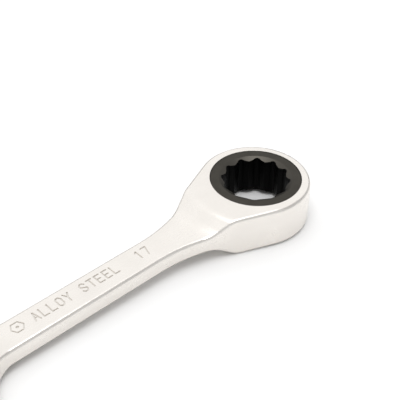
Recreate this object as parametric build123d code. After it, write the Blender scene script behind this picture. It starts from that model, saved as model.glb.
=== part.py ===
"""Ratcheting combination wrench, 17 mm across flats, built as five real pieces.

Frame: the ring's axis is Z, the origin is on it at mid-thickness, and the handle runs along -X.
All lengths are in millimetres and all angles in degrees.
"""

from build123d import *

import os
from math import atan2, cos, degrees, pi, radians, sin, sqrt, tan

# ---- what a 17 mm nut needs ----
ACROSS_FLATS = 17.0
RING_FLATS = ACROSS_FLATS + 0.15  # opening of the 12-point ring
JAW_GAP = ACROSS_FLATS + 0.20  # opening of the open end
NOTCH_TIP_R = 9.85  # the points of the 12-point opening are cut back to this radius
NOTCH_RELIEF_R = 1.25  # each point is opened out to an arc of this radius

# ---- outline of the forging, seen along Z ----
HEAD_R = 15.9  # ring head at mid-thickness
HEAD_X = -0.5  # its centre, a little behind the ring's axis, which leaves the nose thinner
FLANK_ANGLE = 22.5  # straight flanks close from the head towards the shank
NECK_R = 46.0  # hollow curve from flank to shank
SHANK_HALF_W = 4.75
FLARE_X = -85.2  # where the shank starts to widen for the open end
FLARE_R = 9.0
JAW_HEAD_R = 18.0
JAW_ANGLE = 15.0  # the open end is turned this much from the handle
JAW_TIP = 11.3  # nut centre to jaw tips
JAW_TIP_CORNER_R = 2.2  # outer corners of the tips
JAW_LEAD_R = 1.2  # inner corners of the tips
JAW_BEVEL = 0.25  # broken edges of the gap
THROAT_CLEARANCE = 0.25  # past the corner of the nut
THROAT_R = 2.5

# ---- thickness of the forging ----
HEAD_HALF_T = 6.1
SHANK_HALF_T = 2.45
JAW_HALF_T = 3.6
HEAD_FLAT_R = 25.0  # the flat of the head ends on this circle
HEAD_FLAT_X = 6.4  # its centre, past the ring, so that the bend crosses the neck in a shallow arc
HEAD_UNDER_X = 7.4  # the same on the underside, whose flat ends a little sooner
HEAD_SLOPE = 36.0
JAW_FLAT_R = 16.5
JAW_SLOPE = 12.0
BREAK_R = 3.5  # convex bend where a flat turns into its slope
HOLLOW_R = 7.0  # concave bend where a slope meets the shank
DRAFT = 1.5  # walls lean in by this much from the parting plane
EDGE_R = 0.95  # polished-over outer edges

# ---- bore of the head, from the face down ----
LIP_R = 13.00  # upper lip that the gear's journal turns in
LIP_UNDERSIDE_Z = 3.30
BORE_R = 13.52
GROOVE_R = 14.25
GROOVE_TOP_Z = -4.54
GROOVE_BOTTOM_Z = -5.38
MOUTH_R = 13.62
MOUTH_CHAMFER = 0.20
LIP_CHAMFER = 0.06

# ---- ratchet gear ----
TEETH = 72
TOOTH_TIP_R = 13.25
TOOTH_DEPTH = 0.56
DRIVE_FLANK = 20.0  # from the radial line
JOURNAL_R = 12.93
FLANGE_R = 13.45
GEAR_HALF_H = 6.03
TOOTH_TOP_Z = 3.25
TOOTH_BOTTOM_Z = -3.15
FLANGE_BOTTOM_Z = -4.50
GEAR_EDGE = 0.20
COUNTERSINK_R = 10.36
COUNTERSINK_FLOOR_R = 8.6  # inside the opening, so that the cone runs out in its walls
COUNTERSINK_SLOPE = 30.0
GEAR_PHASE = 11.2  # rest angle of the 12-point opening

# ---- pawl and its pocket ----
PAWL_HALF_W = 4.50
PAWL_HALF_H = 3.00
PAWL_BACK_X = -18.0
PAWL_FRONT_R = TOOTH_TIP_R - TOOTH_DEPTH + 0.07
PAWL_BACKLASH = 0.15  # degrees each way
TIP_CLEARANCE = 0.06
POCKET_HALF_W = 4.58
POCKET_HALF_H = 3.08
POCKET_BACK_X = -19.4
POCKET_CORNER_R = 1.0

# ---- pawl spring, which lies along X ----
SPRING_OUTER_R = 1.20
SPRING_WIRE_R = 0.18
SPRING_TURNS = 5
SPRING_SEAT_R = 1.40
SPRING_SEAT_X = -15.8  # floor of the blind hole in the pawl
SPRING_END_GAP = 0.02

# ---- retaining ring ----
CLIP_INNER_R = 13.05
CLIP_OUTER_R = 14.22
CLIP_TOP_Z = -4.56
CLIP_BOTTOM_Z = -5.34
CLIP_GAP_ANGLE = -58.0
CLIP_GAP_HALF = 9.0
CLIP_CORNER_R = 0.3

# ---- engraved marks ----
MARK_DEPTH = 0.24
MARK_STROKE = 0.44
MARK_HEIGHT = 2.9
MARK_PITCH = 2.42
MARK_Y = 0.65
SIZE_MARK_X = -41.5
WORD_START_X = -75.8
BADGE_X = -80.2
BADGE_R = 2.0

BIG = 60.0  # larger than any local feature
MARGIN = 1.0  # how far a cutter runs past what it cuts
UPRIGHT = 0.2  # largest Z part of the normal of a face that counts as a wall


def polar(radius, angle):
    """Point at a radius and an angle about the origin."""
    return (radius * cos(radians(angle)), radius * sin(radians(angle)))


def jaw_centre_x():
    """Nut centre of the open end, from the flare that joins its round head to the shank."""
    reach = sqrt((JAW_HEAD_R + FLARE_R) ** 2 - (SHANK_HALF_W + FLARE_R) ** 2)
    return FLARE_X - reach


def jaw_frame():
    """Places a sketch in the open end: local +X leaves through the jaws."""
    return Pos(jaw_centre_x(), 0) * Rot(0, 0, 180 - JAW_ANGLE)


# ---------------------------------------------------------------- wrench body


def handle_outline():
    """Ring head, flanks, neck, shank and flare as one face, before the open end is added."""
    a = radians(FLANK_ANGLE)
    flank_top = (HEAD_X - HEAD_R * sin(a), HEAD_R * cos(a))
    drop = flank_top[1] - SHANK_HALF_W - NECK_R * (1 - cos(a))
    neck_x = flank_top[0] - drop / tan(a) - NECK_R * sin(a)
    flank_foot = (neck_x + NECK_R * sin(a), SHANK_HALF_W + NECK_R * (1 - cos(a)))
    neck_mid = (neck_x + NECK_R * sin(a / 2), SHANK_HALF_W + NECK_R * (1 - cos(a / 2)))
    neck_end = (neck_x, SHANK_HALF_W)
    flare_start = (FLARE_X, SHANK_HALF_W)

    centre_x = jaw_centre_x()
    lean = atan2(SHANK_HALF_W + FLARE_R, FLARE_X - centre_x)
    flare_end = (centre_x + JAW_HEAD_R * cos(lean), JAW_HEAD_R * sin(lean))
    half = (pi / 2 - lean) / 2
    flare_mid = (FLARE_X - FLARE_R * sin(half), SHANK_HALF_W + FLARE_R * (1 - cos(half)))

    def flip(point):
        return (point[0], -point[1])

    top = [
        Line(flank_top, flank_foot),
        ThreePointArc(flank_foot, neck_mid, neck_end),
        Line(neck_end, flare_start),
        ThreePointArc(flare_start, flare_mid, flare_end),
    ]
    bottom = [
        Line(flip(flank_top), flip(flank_foot)),
        ThreePointArc(flip(flank_foot), flip(neck_mid), flip(neck_end)),
        Line(flip(neck_end), flip(flare_start)),
        ThreePointArc(flip(flare_start), flip(flare_mid), flip(flare_end)),
    ]
    nose = ThreePointArc(flank_top, (HEAD_X + HEAD_R, 0), flip(flank_top))
    back = ThreePointArc(flare_end, (centre_x - JAW_HEAD_R, 0), flip(flare_end))
    return make_face([*top, *bottom, nose, back])


def jaw_gap():
    """Opening of the open end in its own frame: hexagon seat, parallel flats, rounded mouth."""
    half = JAW_GAP / 2
    corner = JAW_GAP / sqrt(3) + THROAT_CLEARANCE
    shoulder = -corner / 2
    mouth_x = JAW_TIP - JAW_LEAD_R
    seat_points = [(mouth_x, half), (shoulder, half), (-corner, 0), (shoulder, -half), (mouth_x, -half)]
    seat = make_face(Polyline(*seat_points, close=True))
    seat = fillet([v for v in seat.vertices() if v.X < 0], THROAT_R)
    mouth = Pos(mouth_x + BIG / 2, 0) * Rectangle(BIG, 2 * (half + JAW_LEAD_R))
    for side in (1, -1):
        mouth = mouth - Pos(mouth_x, side * (half + JAW_LEAD_R)) * Circle(JAW_LEAD_R)
    return seat + mouth


def outline():
    """Outline of the whole forging at mid-thickness, the open end still solid between its jaws."""
    beyond_tips = Pos(JAW_TIP + BIG / 2, 0) * Rectangle(BIG, BIG)
    face = handle_outline() - jaw_frame() * beyond_tips
    outer_corners = face.vertices().sort_by(Axis.X)[:2]
    return fillet(outer_corners, JAW_TIP_CORNER_R)


def stepped_disc(flat_r, flat_half_t, slope, reach):
    """Upper half of a solid of revolution: a flat centre that slopes down to the shank."""
    a = radians(slope)
    drop = flat_half_t - SHANK_HALF_T
    bends = (BREAK_R + HOLLOW_R) * (1 - cos(a))
    run = (drop - bends) / sin(a)
    break_end = (flat_r + BREAK_R * sin(a), flat_half_t - BREAK_R * (1 - cos(a)))
    break_mid = (flat_r + BREAK_R * sin(a / 2), flat_half_t - BREAK_R * (1 - cos(a / 2)))
    slope_end = (break_end[0] + run * cos(a), break_end[1] - run * sin(a))
    hollow_end = (slope_end[0] + HOLLOW_R * sin(a), SHANK_HALF_T)
    hollow_mid = (hollow_end[0] - HOLLOW_R * sin(a / 2), SHANK_HALF_T + HOLLOW_R * (1 - cos(a / 2)))
    edges = [
        Line((0, 0), (0, flat_half_t)),
        Line((0, flat_half_t), (flat_r, flat_half_t)),
        ThreePointArc((flat_r, flat_half_t), break_mid, break_end),
        Line(break_end, slope_end),
        ThreePointArc(slope_end, hollow_mid, hollow_end),
        Line(hollow_end, (reach, SHANK_HALF_T)),
        Line((reach, SHANK_HALF_T), (reach, 0)),
        Line((reach, 0), (0, 0)),
    ]
    return revolve(Plane.XZ * make_face(edges), Axis.Z)


def thickness():
    """Everything the forging may fill: two discs, thick in the middle, that meet on the shank."""
    middle = FLARE_X / 2
    head_reach = HEAD_UNDER_X - middle + SHANK_HALF_W
    ring_end = stepped_disc(HEAD_FLAT_R, HEAD_HALF_T, HEAD_SLOPE, head_reach)
    jaw_reach = middle - jaw_centre_x() + SHANK_HALF_W
    jaw_end = stepped_disc(JAW_FLAT_R, JAW_HALF_T, JAW_SLOPE, jaw_reach)
    jaw_end = Pos(jaw_centre_x(), 0, 0) * jaw_end
    top = Pos(HEAD_FLAT_X, 0, 0) * ring_end + jaw_end
    under = Pos(HEAD_UNDER_X, 0, 0) * ring_end + jaw_end
    return top + mirror(under, Plane.XY)


def is_wall(face):
    """True for the side walls, which stand nearly upright."""
    return abs(face.normal_at().Z) < UPRIGHT


def shared_edges(faces, others):
    """The edges that lie between one group of faces and another."""
    other_edges = [e for f in others for e in f.edges()]
    return [e for f in faces for e in f.edges() if any(e.is_same(o) for o in other_edges)]


def forging():
    """The solid forging with drafted walls and rounded rims, before machining."""
    half = extrude(outline(), HEAD_HALF_T + MARGIN)
    half = draft([f for f in half.faces() if is_wall(f)], Plane.XY, DRAFT)
    blank = (half + mirror(half, Plane.XY)) & thickness()
    walls = [f for f in blank.faces() if is_wall(f)]
    broad = [f for f in blank.faces() if not is_wall(f)]
    return fillet(shared_edges(walls, broad), EDGE_R)


def gap_bevel():
    """Widens the top of the gap at 45 degrees, to break its edge."""
    wedge = extrude(jaw_gap(), 2 * JAW_BEVEL)
    wedge = draft([f for f in wedge.faces() if is_wall(f)], Plane.XY, -45)
    return Pos(0, 0, JAW_HALF_T - JAW_BEVEL) * wedge


def open_the_jaws(body):
    """Machines the gap between the jaws and breaks its edges."""
    cutter = extrude(jaw_gap(), BIG / 2, both=True)
    cutter = cutter + gap_bevel() + mirror(gap_bevel(), Plane.XY)
    return body - jaw_frame() * cutter


def bore_cutter():
    """Turned bore from the upper lip down to the mouth, with the retaining ring's groove."""
    edge = HEAD_HALF_T - MOUTH_CHAMFER
    lip_edge = HEAD_HALF_T - LIP_CHAMFER
    profile = Polyline(
        (0, BIG),
        (LIP_R + BIG - lip_edge, BIG),
        (LIP_R, lip_edge),
        (LIP_R, LIP_UNDERSIDE_Z),
        (BORE_R, LIP_UNDERSIDE_Z),
        (BORE_R, GROOVE_TOP_Z),
        (GROOVE_R, GROOVE_TOP_Z),
        (GROOVE_R, GROOVE_BOTTOM_Z),
        (MOUTH_R, GROOVE_BOTTOM_Z),
        (MOUTH_R, -edge),
        (MOUTH_R + BIG - edge, -BIG),
        (0, -BIG),
        close=True,
    )
    return revolve(Plane.XZ * make_face(profile), Axis.Z)


def pawl_pocket():
    """Pocket milled through the bore towards the handle, under a web of metal on both faces."""
    length = -POCKET_BACK_X
    block = Pos(-length / 2, 0, 0) * Box(length, 2 * POCKET_HALF_W, 2 * POCKET_HALF_H)
    back = [e for e in block.edges().filter_by(Axis.Z) if e.center().X < -1]
    return fillet(back, POCKET_CORNER_R)


# Strokes of each sign on a grid 2 wide and 4 high, as runs of points.
ROUND_O = [(0.6, 0), (0, 0.8), (0, 3.2), (0.6, 4), (1.4, 4), (2, 3.2), (2, 0.8), (1.4, 0), (0.6, 0)]
LOWER_S = [(0, 0.7), (0.6, 0), (1.4, 0), (2, 0.7), (2, 1.5), (1, 2)]
UPPER_S = [(1, 2), (0, 2.5), (0, 3.3), (0.6, 4), (1.4, 4), (2, 3.3)]
STROKES = {
    "A": [[(0, 0), (1, 4), (2, 0)], [(0.4, 1.4), (1.6, 1.4)]],
    "E": [[(2, 0), (0, 0), (0, 4), (2, 4)], [(0, 2), (1.6, 2)]],
    "L": [[(0, 4), (0, 0), (2, 0)]],
    "O": [ROUND_O],
    "S": [LOWER_S, UPPER_S],
    "T": [[(0, 4), (2, 4)], [(1, 0), (1, 4)]],
    "Y": [[(0, 4), (1, 2), (2, 4)], [(1, 0), (1, 2)]],
    "1": [[(0.3, 3.2), (1, 4), (1, 0)]],
    "7": [[(0, 4), (2, 4), (0.8, 0)]],
    " ": [],
}


def stroke(start, end):
    """One engraved stroke with round ends."""
    length = sqrt((end[0] - start[0]) ** 2 + (end[1] - start[1]) ** 2)
    angle = degrees(atan2(end[1] - start[1], end[0] - start[0]))
    middle = Pos((start[0] + end[0]) / 2, (start[1] + end[1]) / 2)
    return middle * Rot(0, 0, angle) * SlotCenterToCenter(length, MARK_STROKE)


def lettering(text):
    """The signs of a short text in a row, centred on the row's height and starting at X = 0."""
    unit = MARK_HEIGHT / 4
    strokes = []
    for place, sign in enumerate(text):
        for run in STROKES[sign]:
            points = [(place * MARK_PITCH + x * unit, (y - 2) * unit) for x, y in run]
            strokes += [stroke(a, b) for a, b in zip(points, points[1:])]
    return Sketch() + strokes


def badge():
    """A plain hexagon ring with a dot, as a sign for a nut."""
    ring = RegularPolygon(BADGE_R, 6) - RegularPolygon(BADGE_R - MARK_STROKE, 6)
    return ring + Circle(MARK_STROKE)


def size_mark(x):
    """The nominal size as a number, centred at x on the handle."""
    return Pos(x - MARK_PITCH / 2 - MARK_HEIGHT / 4, 0) * lettering("%d" % ACROSS_FLATS)


def engraving():
    """All marks as cutters: size, steel and badge on top, the size alone underneath."""
    row = size_mark(SIZE_MARK_X) + Pos(WORD_START_X, 0) * lettering("ALLOY STEEL")
    row = row + Pos(BADGE_X, 0) * badge()
    lift = Pos(0, MARK_Y, SHANK_HALF_T - MARK_DEPTH)
    top = lift * extrude(row, MARGIN)
    under = lift * extrude(size_mark(SIZE_MARK_X), MARGIN)
    return top + Rot(180, 0, 0) * under


def make_wrench_body():
    body = open_the_jaws(forging())
    body = body - bore_cutter()
    body = body - pawl_pocket()
    return body - engraving()


# ---------------------------------------------------------------- ratchet parts


def tooth_outline(growth=0.0):
    """The toothed waist of the gear: saw teeth that drive one way and slip the other."""
    tip_r = TOOTH_TIP_R + growth
    root_r = tip_r - TOOTH_DEPTH
    pitch = 360 / TEETH
    drive_width = degrees(TOOTH_DEPTH * tan(radians(DRIVE_FLANK)) / tip_r)
    points = []
    for tooth in range(TEETH):
        start = tooth * pitch - pitch / 2
        points.append(polar(root_r, start))
        points.append(polar(tip_r, start + drive_width))
    return make_face(Polyline(*points, close=True))


def twelve_point_opening():
    """Two hexagons a twelfth of a turn apart, with their points rounded and relieved."""
    corner_r = RING_FLATS / sqrt(3)
    star = RegularPolygon(corner_r, 6) + Rot(0, 0, 30) * RegularPolygon(corner_r, 6)
    opening = star & Circle(NOTCH_TIP_R)
    relief = Pos(NOTCH_TIP_R - NOTCH_RELIEF_R, 0) * Circle(NOTCH_RELIEF_R)
    for point in range(12):
        opening = opening + Rot(0, 0, 30 * point) * relief
    return Rot(0, 0, GEAR_PHASE) * opening


def make_ratchet_gear():
    """Gear turned from the solid: journal above, flange and hub below the teeth."""
    edge_r = JOURNAL_R - GEAR_EDGE
    edge_z = GEAR_HALF_H - GEAR_EDGE
    profile = Polyline(
        (0, GEAR_HALF_H),
        (edge_r, GEAR_HALF_H),
        (JOURNAL_R, edge_z),
        (JOURNAL_R, TOOTH_TOP_Z),
        (TOOTH_TIP_R - TOOTH_DEPTH, TOOTH_TOP_Z),
        (TOOTH_TIP_R - TOOTH_DEPTH, TOOTH_BOTTOM_Z),
        (FLANGE_R, TOOTH_BOTTOM_Z),
        (FLANGE_R, FLANGE_BOTTOM_Z),
        (JOURNAL_R, FLANGE_BOTTOM_Z),
        (JOURNAL_R, -edge_z),
        (edge_r, -GEAR_HALF_H),
        (0, -GEAR_HALF_H),
        close=True,
    )
    gear = revolve(Plane.XZ * make_face(profile), Axis.Z)
    teeth = extrude(tooth_outline(), TOOTH_TOP_Z - TOOTH_BOTTOM_Z)
    gear = gear + Pos(0, 0, TOOTH_BOTTOM_Z) * teeth
    gear = gear - extrude(twelve_point_opening(), BIG, both=True)
    sink_depth = (COUNTERSINK_R - COUNTERSINK_FLOOR_R) * tan(radians(COUNTERSINK_SLOPE))
    sink = Cone(COUNTERSINK_FLOOR_R, COUNTERSINK_R, sink_depth)
    sink = Pos(0, 0, GEAR_HALF_H - sink_depth / 2) * sink
    return gear - sink - mirror(sink, Plane.XY)


def make_pawl():
    """Block whose toothed end fits the gear, with a blind hole for its spring."""
    length = -PAWL_BACK_X
    plan = Pos(-length / 2, 0) * Rectangle(length, 2 * PAWL_HALF_W)
    back = plan.vertices().sort_by(Axis.X)[:2]
    plan = fillet(back, POCKET_CORNER_R)
    plan = plan - Circle(PAWL_FRONT_R)
    for side in (PAWL_BACKLASH, -PAWL_BACKLASH):
        plan = plan - Rot(0, 0, side) * tooth_outline(TIP_CLEARANCE)
    pawl = extrude(plan, PAWL_HALF_H, both=True)
    hole_length = SPRING_SEAT_X - PAWL_BACK_X
    hole = Rot(0, 90, 0) * Cylinder(SPRING_SEAT_R, hole_length)
    return pawl - Pos((SPRING_SEAT_X + PAWL_BACK_X) / 2, 0, 0) * hole


def make_pawl_spring():
    """Compression spring between the pocket's back wall and the pawl's blind hole."""
    coil_r = SPRING_OUTER_R - SPRING_WIRE_R
    length = SPRING_SEAT_X - POCKET_BACK_X - 2 * (SPRING_WIRE_R + SPRING_END_GAP)
    path = Helix(length / SPRING_TURNS, length, coil_r)
    start = Plane(path @ 0, z_dir=path % 0)
    coil = sweep(start * Circle(SPRING_WIRE_R), path=path)
    return Pos(POCKET_BACK_X + SPRING_WIRE_R + SPRING_END_GAP, 0, 0) * Rot(0, 90, 0) * coil


def make_retaining_ring():
    """Flat open ring that sits in the head's groove under the gear's flange."""
    reach = (CLIP_OUTER_R + MARGIN) / cos(radians(CLIP_GAP_HALF))
    gap = make_face(
        Polyline(
            (0, 0),
            polar(reach, CLIP_GAP_ANGLE - CLIP_GAP_HALF),
            polar(reach, CLIP_GAP_ANGLE + CLIP_GAP_HALF),
            close=True,
        )
    )
    ring = Circle(CLIP_OUTER_R) - Circle(CLIP_INNER_R) - gap
    ring = fillet(ring.vertices(), CLIP_CORNER_R)
    return Pos(0, 0, CLIP_BOTTOM_Z) * extrude(ring, CLIP_TOP_Z - CLIP_BOTTOM_Z)


def main():
    os.makedirs("parts", exist_ok=True)
    makers = {
        "wrench_body": make_wrench_body,
        "ratchet_gear": make_ratchet_gear,
        "retaining_ring": make_retaining_ring,
        "pawl": make_pawl,
        "pawl_spring": make_pawl_spring,
    }
    for name, maker in makers.items():
        export_step(maker(), "parts/%s.step" % name)


if __name__ == "__main__":
    main()
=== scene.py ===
"""The looks of a ratcheting combination wrench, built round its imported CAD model."""
import math

import bpy
from mathutils import Matrix, Vector


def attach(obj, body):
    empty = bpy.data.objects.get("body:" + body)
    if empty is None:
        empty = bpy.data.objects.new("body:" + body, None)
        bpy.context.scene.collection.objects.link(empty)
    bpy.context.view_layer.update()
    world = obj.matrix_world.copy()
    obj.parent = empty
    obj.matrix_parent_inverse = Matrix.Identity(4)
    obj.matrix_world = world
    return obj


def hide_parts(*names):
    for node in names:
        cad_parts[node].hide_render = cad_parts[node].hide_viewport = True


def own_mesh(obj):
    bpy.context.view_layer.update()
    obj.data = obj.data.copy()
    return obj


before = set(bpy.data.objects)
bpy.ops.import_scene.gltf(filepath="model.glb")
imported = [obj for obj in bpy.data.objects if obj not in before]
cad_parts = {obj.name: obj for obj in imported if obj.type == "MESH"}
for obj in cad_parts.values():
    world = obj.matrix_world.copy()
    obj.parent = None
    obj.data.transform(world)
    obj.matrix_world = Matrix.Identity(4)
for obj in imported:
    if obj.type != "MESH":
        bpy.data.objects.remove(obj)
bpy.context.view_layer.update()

MM = 0.001
MICRON = 1e-6
WHITE = (1, 1, 1, 1)

# The camera, in the frame of the part: azimuth 0 looks along +Y with +X to the right.
CAMERA_AZIMUTH = math.radians(-43.32)
CAMERA_ELEVATION = math.radians(38.49)
CAMERA_ROLL = math.radians(0.246)
CAMERA_PLACE = Vector((-149.41, -135.59, 157.71)) * MM
CAMERA_LENS = 80.34
CAMERA_SENSOR = 36.0
CAMERA_CLIP = (0.01, 20.0)

# The wrench lies on the end of its head's flat and on its thinner jaws; X and Z in millimetres.
HEAD_CONTACT = (-17.6, -6.12)
JAW_CONTACT = (-122.5, -3.62)
FLOOR_HALF = 1500.0
PAPER = (0.93, 0.93, 0.93, 1)
PAPER_ROUGHNESS = 0.95

# Light: a white wall behind and to the left, dark along its foot, a greyer room all round, and
# one softbox nearly overhead. Edges are cosines from the wall's middle and sines of elevation.
WALL_AZIMUTH = 170.0
WALL_ELEVATION = 20.0
WALL_RADIANCE = 1.10
WALL_EDGE = (0.10, 0.40)
WALL_FOOT_RADIANCE = 0.15
WALL_FOOT_EDGE = (0.10, 0.40)
ROOM_RADIANCE = 0.53
SOFTBOX_AZIMUTH = -35.0
SOFTBOX_ELEVATION = 80.0
SOFTBOX_DISTANCE = 1.2
SOFTBOX_SIZE = 0.8
SOFTBOX_RADIANCE = 3.3

# Where the materials change. UP is the upright part of the normal: 1 on a flat face, 0 on a wall.
MARK_FLOOR_Z = 2.33 * MM
MARK_END_X = -30.0 * MM
FLAT_UP = 0.95
RIM_UP = (0.16, 0.70)
RIM_SOFT = 0.08
CONE_UP = (0.84, 0.90)
CONE_SOFT = 0.03
EDGE_UP = (0.60, 0.80)
EDGE_SOFT = 0.05
OPENING_UP = (0.2, 0.5)
TOOTH_TIP_R = (13.35 * MM, 12.95 * MM)

# Colours of the metals. A pair is the two ends of a cloudy base.
CHROME = ((0.82, 0.785, 0.742), (0.86, 0.825, 0.782))
CHROME_LINES = (0.78, 0.75, 0.71)
# Painted shade: the rims' colour is darker than the chrome to dim the softbox highlight on them.
CHROME_RIMS_SHADE = (0.80, 0.775, 0.74)
CHROME_MARKS = (0.70, 0.67, 0.63)
OXIDE = ((0.048, 0.044, 0.037), (0.062, 0.057, 0.048))
OXIDE_RINGS = (0.068, 0.063, 0.054)
OXIDE_CONE = (0.085, 0.079, 0.070)
OXIDE_EDGES = (0.16, 0.15, 0.14)
# Painted shade: the opening's upright walls are darkened to near black, far below the oxide's own
# colour.
OXIDE_OPENING_SHADE = (0.004, 0.004, 0.004)
RING_STEEL = ((0.28, 0.28, 0.29), (0.36, 0.36, 0.375))
RING_STEEL_LINES = (0.46, 0.455, 0.45)
WIRE_STEEL = ((0.25, 0.25, 0.27), (0.38, 0.37, 0.37))
PAWL_STEEL = ((0.17, 0.17, 0.18), (0.27, 0.265, 0.26))
PAWL_STEEL_TIPS = (0.42, 0.415, 0.41)

# The pawl's spring: coils about the X axis with closed ends, in the pocket behind the pawl.
SPRING_START_X = -19.2 * MM
SPRING_END_X = -16.0 * MM
SPRING_R = 1.02 * MM
WIRE_R = 0.18 * MM
SPRING_TURNS = 6
CLOSED_TURNS = 0.75
CLOSED_PITCH = 2.05 * WIRE_R
STEPS_A_TURN = 36
WIRE_SIDES = 14


def direction(azimuth, elevation):
    """Unit vector away from the part; both angles are in radians."""
    level = math.cos(elevation)
    return Vector((math.sin(azimuth) * level, -math.cos(azimuth) * level, math.sin(elevation)))


class Tree:
    """Short calls for building a node tree."""

    def __init__(self, tree):
        self.tree = tree

    def new(self, kind, **settings):
        node = self.tree.nodes.new(kind)
        for name, value in settings.items():
            setattr(node, name, value)
        return node

    def put(self, value, socket):
        """Links an output to a socket, or sets a plain value on it."""
        if isinstance(value, bpy.types.NodeSocket):
            self.tree.links.new(value, socket)
        else:
            socket.default_value = value

    def parts(self, vector):
        split = self.new("ShaderNodeSeparateXYZ")
        self.put(vector, split.inputs[0])
        return split.outputs

    def math(self, operation, *values):
        node = self.new("ShaderNodeMath", operation=operation)
        for value, socket in zip(values, node.inputs):
            self.put(value, socket)
        return node.outputs["Value"]

    def times(self, first, *others):
        for other in others:
            first = self.math("MULTIPLY", first, other)
        return first

    def remap(self, value, from_min, from_max, to_min=0.0, to_max=1.0):
        """Carries a number from one range to another, held at both ends."""
        node = self.new("ShaderNodeMapRange")
        for given, socket in zip((value, from_min, from_max, to_min, to_max), node.inputs):
            self.put(given, socket)
        return node.outputs["Result"]

    def blend(self, factor, first, second):
        """Blends two numbers."""
        return self.remap(factor, 0.0, 1.0, first, second)


def add_camera():
    """The camera looks down at the ring head from the open end's side."""
    back = direction(CAMERA_AZIMUTH, CAMERA_ELEVATION)
    level = Vector((math.cos(CAMERA_AZIMUTH), math.sin(CAMERA_AZIMUTH), 0.0))
    upright = back.cross(level)
    right = level * math.cos(CAMERA_ROLL) + upright * math.sin(CAMERA_ROLL)
    up = back.cross(right)
    data = bpy.data.cameras.new("camera")
    data.lens = CAMERA_LENS
    data.sensor_width = CAMERA_SENSOR
    data.clip_start, data.clip_end = CAMERA_CLIP
    camera = bpy.data.objects.new("camera", data)
    turn = Matrix((right, up, back)).transposed().to_4x4()
    camera.matrix_world = Matrix.Translation(CAMERA_PLACE) @ turn
    bpy.context.scene.collection.objects.link(camera)
    bpy.context.scene.camera = camera


def floor_material():
    """Plain matt white paper."""
    material = bpy.data.materials.new("white_paper")
    material.use_nodes = True
    shader = material.node_tree.nodes["Principled BSDF"]
    shader.inputs["Base Color"].default_value = PAPER
    shader.inputs["Roughness"].default_value = PAPER_ROUGHNESS
    shader.inputs["Specular IOR Level"].default_value = 0.0
    return material


def add_floor():
    """One flat sheet that touches the wrench where it would lie on a table."""
    (x0, z0), (x1, z1) = HEAD_CONTACT, JAW_CONTACT
    slope = (z1 - z0) / (x1 - x0)
    corners = [(-1, -1), (1, -1), (1, 1), (-1, 1)]
    points = []
    for u, v in corners:
        x = u * FLOOR_HALF
        points.append(Vector((x, v * FLOOR_HALF, z0 + slope * (x - x0))) * MM)
    mesh = bpy.data.meshes.new("floor")
    mesh.from_pydata(points, [], [(0, 1, 2, 3)])
    mesh.materials.append(floor_material())
    floor = bpy.data.objects.new("floor", mesh)
    bpy.context.scene.collection.objects.link(floor)


def add_world():
    """A white wall on one side of a greyer room; the camera sees plain white past the floor."""
    world = bpy.data.worlds.new("studio")
    world.use_nodes = True
    n = Tree(world.node_tree)
    n.tree.nodes.clear()
    place = n.new("ShaderNodeTexCoord").outputs["Generated"]
    towards = n.new("ShaderNodeVectorMath", operation="DOT_PRODUCT")
    n.put(place, towards.inputs[0])
    middle = direction(math.radians(WALL_AZIMUTH), math.radians(WALL_ELEVATION))
    towards.inputs[1].default_value = middle
    facing = n.remap(towards.outputs["Value"], *WALL_EDGE)
    above_foot = n.remap(n.parts(place)[2], *WALL_FOOT_EDGE)
    wall = n.remap(above_foot, 0.0, 1.0, WALL_FOOT_RADIANCE, WALL_RADIANCE)
    room = n.new("ShaderNodeBackground")
    n.put(n.blend(facing, ROOM_RADIANCE, wall), room.inputs["Strength"])
    plain = n.new("ShaderNodeBackground")
    plain.inputs["Color"].default_value = WHITE
    room.inputs["Color"].default_value = WHITE
    mix = n.new("ShaderNodeMixShader")
    n.put(n.new("ShaderNodeLightPath").outputs["Is Camera Ray"], mix.inputs["Fac"])
    n.put(room.outputs[0], mix.inputs[1])
    n.put(plain.outputs[0], mix.inputs[2])
    n.put(mix.outputs[0], n.new("ShaderNodeOutputWorld").inputs["Surface"])
    bpy.context.scene.world = world


def add_softbox():
    """A square light that faces the wrench; its power follows from how bright its face is."""
    data = bpy.data.lights.new("softbox", "AREA")
    data.shape = "SQUARE"
    data.size = SOFTBOX_SIZE
    data.energy = SOFTBOX_RADIANCE * SOFTBOX_SIZE**2 * math.pi
    away = direction(math.radians(SOFTBOX_AZIMUTH), math.radians(SOFTBOX_ELEVATION))
    lamp = bpy.data.objects.new("softbox", data)
    lamp.location = away * SOFTBOX_DISTANCE
    lamp.rotation_euler = away.to_track_quat("Z", "Y").to_euler()
    bpy.context.scene.collection.objects.link(lamp)


def set_colours():
    """Plain display colours, so that white paper stays white."""
    scene = bpy.context.scene
    scene.view_settings.view_transform = "Standard"
    scene.view_settings.look = "None"
    scene.view_settings.exposure = 0.0
    scene.view_settings.gamma = 1.0


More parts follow.
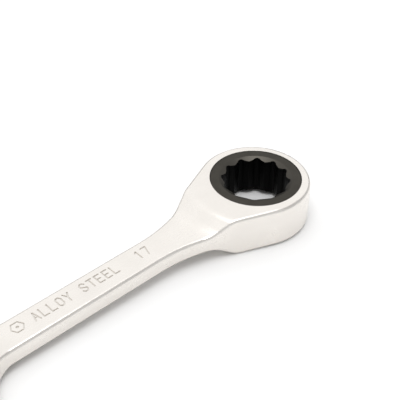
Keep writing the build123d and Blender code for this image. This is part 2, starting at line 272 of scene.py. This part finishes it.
class Metal(Tree):
    """One metal's node material, in the part's own coordinates."""

    def __init__(self, name):
        self.material = bpy.data.materials.new(name)
        self.material.use_nodes = True
        super().__init__(self.material.node_tree)
        self.shader = self.tree.nodes["Principled BSDF"]
        self.shader.inputs["Metallic"].default_value = 1.0
        place = self.new("ShaderNodeTexCoord")
        self.place = place.outputs["Object"]
        self.x, self.y, self.z = self.parts(self.place)
        self.up = self.math("ABSOLUTE", self.parts(place.outputs["Normal"])[2])
        squares = self.math("ADD", self.times(self.x, self.x), self.times(self.y, self.y))
        self.radius = self.math("SQRT", squares)

    def band(self, value, low, high, soft):
        """1 between low and high, fading to 0 over soft outside them."""
        rise = self.remap(value, low - soft, low)
        fall = self.remap(value, high, high + soft, 1.0, 0.0)
        return self.times(rise, fall)

    def noise(self, scale, detail=3.0, stretch=(1.0, 1.0, 1.0)):
        """Noise over the part; scale is in waves a metre, and stretch multiplies it by axis."""
        grow = self.new("ShaderNodeVectorMath", operation="MULTIPLY")
        self.put(self.place, grow.inputs[0])
        grow.inputs[1].default_value = stretch
        node = self.new("ShaderNodeTexNoise")
        self.put(grow.outputs["Vector"], node.inputs["Vector"])
        node.inputs["Scale"].default_value = scale
        node.inputs["Detail"].default_value = detail
        return node.outputs["Fac"]

    def turned(self, scale):
        """Fine rings about the ring's axis, as a lathe leaves them."""
        node = self.new("ShaderNodeTexNoise", noise_dimensions="1D")
        self.put(self.radius, node.inputs["W"])
        node.inputs["Scale"].default_value = scale
        node.inputs["Detail"].default_value = 2.0
        return node.outputs["Fac"]

    def colours(self, factor, first, second, start=0.35, end=0.65):
        """Ramps from the first colour at start to the second at end."""
        ramp = self.new("ShaderNodeValToRGB")
        low, high = ramp.color_ramp.elements
        low.position, low.color = start, (*first, 1)
        high.position, high.color = end, (*second, 1)
        self.put(factor, ramp.inputs["Fac"])
        return ramp.outputs["Color"]

    def mix(self, factor, first, second):
        """Blends two colours; a plain colour is given as three numbers."""
        node = self.new("ShaderNodeMix", data_type="RGBA")
        self.put(factor, node.inputs["Factor"])
        sockets = [socket for socket in node.inputs if socket.type == "RGBA"]
        for value, socket in zip((first, second), sockets):
            self.put((*value, 1) if isinstance(value, tuple) else value, socket)
        return next(socket for socket in node.outputs if socket.type == "RGBA")

    def finish(self, colour, roughness, height, depth):
        """Connects the shader; depth is how high the bumps are where height goes from 0 to 1."""
        self.put(colour, self.shader.inputs["Base Color"])
        self.put(roughness, self.shader.inputs["Roughness"])
        bump = self.new("ShaderNodeBump")
        bump.inputs["Distance"].default_value = depth
        self.put(height, bump.inputs["Height"])
        self.put(bump.outputs["Normal"], self.shader.inputs["Normal"])
        return self.material


def satin_chrome():
    """Plated and satin-polished: lines along the handle, duller rims darkened as painted shade to
    dim their highlight, matt floors in the marks.
    """
    n = Metal("satin_chrome")
    cloud = n.noise(90.0)
    lines = n.noise(1.0, 2.0, stretch=(350.0, 5200.0, 5200.0))
    pits = n.noise(2600.0, 1.0)
    dull_shaded_rims = n.times(n.band(n.up, *RIM_UP, RIM_SOFT), n.remap(n.noise(500.0), 0.35, 0.6, 0.7, 1.0))
    flat = n.math("GREATER_THAN", n.up, FLAT_UP)
    low = n.math("LESS_THAN", n.math("ABSOLUTE", n.z), MARK_FLOOR_Z)
    marks = n.times(flat, low, n.math("LESS_THAN", n.x, MARK_END_X))
    colour = n.colours(cloud, *CHROME)
    colour = n.mix(n.remap(lines, 0.35, 0.7, 0.0, 0.25), colour, CHROME_LINES)
    # Painted shade: half-mixes a darker colour onto the rounded rims to tone down their highlight.
    colour = n.mix(n.times(dull_shaded_rims, 0.5), colour, CHROME_RIMS_SHADE)
    colour = n.mix(marks, colour, CHROME_MARKS)
    roughness = n.math("ADD", n.blend(cloud, 0.17, 0.27), n.times(lines, 0.08))
    roughness = n.blend(dull_shaded_rims, roughness, 0.48)
    roughness = n.blend(marks, roughness, 0.45)
    height = n.math("ADD", lines, n.times(pits, 0.5))
    return n.finish(colour, roughness, height, 0.25 * MICRON)


def black_oxide():
    """Oiled black oxide on turned steel, worn lighter on its edges, painted near black down the
    opening as shade.
    """
    n = Metal("black_oxide")
    cloud = n.noise(400.0, 4.0)
    rings = n.turned(9000.0)
    colour = n.colours(cloud, *OXIDE, start=0.3, end=0.7)
    colour = n.mix(n.remap(rings, 0.4, 0.7, 0.0, 0.5), colour, OXIDE_RINGS)
    cone = n.band(n.up, *CONE_UP, CONE_SOFT)
    colour = n.mix(n.times(cone, 0.6), colour, OXIDE_CONE)
    edge = n.times(n.band(n.up, *EDGE_UP, EDGE_SOFT), n.remap(n.noise(900.0), 0.3, 0.7, 0.3, 1.0))
    colour = n.mix(n.times(edge, 0.7), colour, OXIDE_EDGES)
    # Painted shade: the upright walls down the opening get a near-black colour that stands for the
    # shade in the bore.
    colour = n.mix(n.remap(n.up, *OPENING_UP), OXIDE_OPENING_SHADE, colour)
    roughness = n.math("ADD", n.blend(cloud, 0.36, 0.44), n.times(rings, 0.06))
    return n.finish(colour, roughness, rings, 1.5 * MICRON)


def brushed_spring_steel():
    """Bare spring steel, brushed round the ring's axis."""
    n = Metal("brushed_spring_steel")
    cloud = n.noise(300.0)
    rings = n.turned(7000.0)
    colour = n.colours(cloud, *RING_STEEL)
    colour = n.mix(n.remap(rings, 0.45, 0.75), colour, RING_STEEL_LINES)
    roughness = n.blend(rings, 0.22, 0.42)
    return n.finish(colour, roughness, rings, 1.5 * MICRON)


def drawn_spring_wire():
    """Drawn wire: a grey skin with faint lengthwise scratches and a trace of blueing."""
    n = Metal("drawn_spring_wire")
    cloud = n.noise(700.0)
    scratches = n.noise(1.0, 2.0, stretch=(9000.0, 2500.0, 2500.0))
    colour = n.colours(cloud, *WIRE_STEEL)
    roughness = n.blend(scratches, 0.20, 0.40)
    return n.finish(colour, roughness, scratches, 0.8 * MICRON)


def hardened_steel():
    """Heat-treated tool steel: mottled dark grey, ground flat across, lighter on its tooth tips."""
    n = Metal("hardened_steel")
    mottle = n.noise(650.0, 4.0)
    ground = n.noise(1.0, 2.0, stretch=(7500.0, 600.0, 7500.0))
    colour = n.colours(mottle, *PAWL_STEEL, start=0.3, end=0.7)
    tips = n.remap(n.radius, *TOOTH_TIP_R)
    colour = n.mix(n.times(tips, 0.7), colour, PAWL_STEEL_TIPS)
    roughness = n.blend(ground, 0.28, 0.46)
    return n.finish(colour, roughness, ground, 1.0 * MICRON)


def paint(node, material):
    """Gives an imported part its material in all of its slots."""
    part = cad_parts[node]
    for place in part.material_slots:
        place.material = material


def spring_advance(turn):
    """How far along X the wire has come after so many turns."""
    ends = 2 * CLOSED_TURNS * CLOSED_PITCH
    open_pitch = (SPRING_END_X - SPRING_START_X - ends) / (SPRING_TURNS - 2 * CLOSED_TURNS)
    first = min(turn, CLOSED_TURNS)
    last = max(turn - (SPRING_TURNS - CLOSED_TURNS), 0.0)
    return (first + last) * CLOSED_PITCH + (turn - first - last) * open_pitch


def coil_ring(step):
    """One ring of points round the wire."""
    turn = step / STEPS_A_TURN
    angle = 2 * math.pi * turn
    outward = Vector((0.0, math.cos(angle), math.sin(angle)))
    along = Vector((1.0, 0.0, 0.0))
    centre = along * (SPRING_START_X + spring_advance(turn)) + outward * SPRING_R
    sides = [2 * math.pi * side / WIRE_SIDES for side in range(WIRE_SIDES)]
    return [centre + (outward * math.cos(s) + along * math.sin(s)) * WIRE_R for s in sides]


def add_spring(wire):
    """A coil that stands for the CAD spring and hides it; it is carried on the wrench's body."""
    steps = SPRING_TURNS * STEPS_A_TURN
    points = [point for step in range(steps + 1) for point in coil_ring(step)]
    faces = []
    for step in range(steps):
        for side in range(WIRE_SIDES):
            a = step * WIRE_SIDES + side
            b = step * WIRE_SIDES + (side + 1) % WIRE_SIDES
            faces.append((a, a + WIRE_SIDES, b + WIRE_SIDES, b))
    faces.append(tuple(range(WIRE_SIDES)))
    faces.append(tuple(reversed(range(steps * WIRE_SIDES, (steps + 1) * WIRE_SIDES))))
    mesh = bpy.data.meshes.new("pawl_spring_coil")
    mesh.from_pydata(points, [], faces)
    mesh.polygons.foreach_set("use_smooth", [True] * len(mesh.polygons))
    mesh.materials.append(wire)
    coil = bpy.data.objects.new("pawl_spring_coil", mesh)
    bpy.context.scene.collection.objects.link(coil)
    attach(coil, "wrench")
    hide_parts("pawl_spring")
    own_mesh(coil)


add_camera()
add_floor()
add_world()
add_softbox()
set_colours()
paint("wrench_body", satin_chrome())
paint("ratchet_gear", black_oxide())
paint("retaining_ring", brushed_spring_steel())
paint("pawl", hardened_steel())
spring_wire = drawn_spring_wire()
paint("pawl_spring", spring_wire)
add_spring(spring_wire)
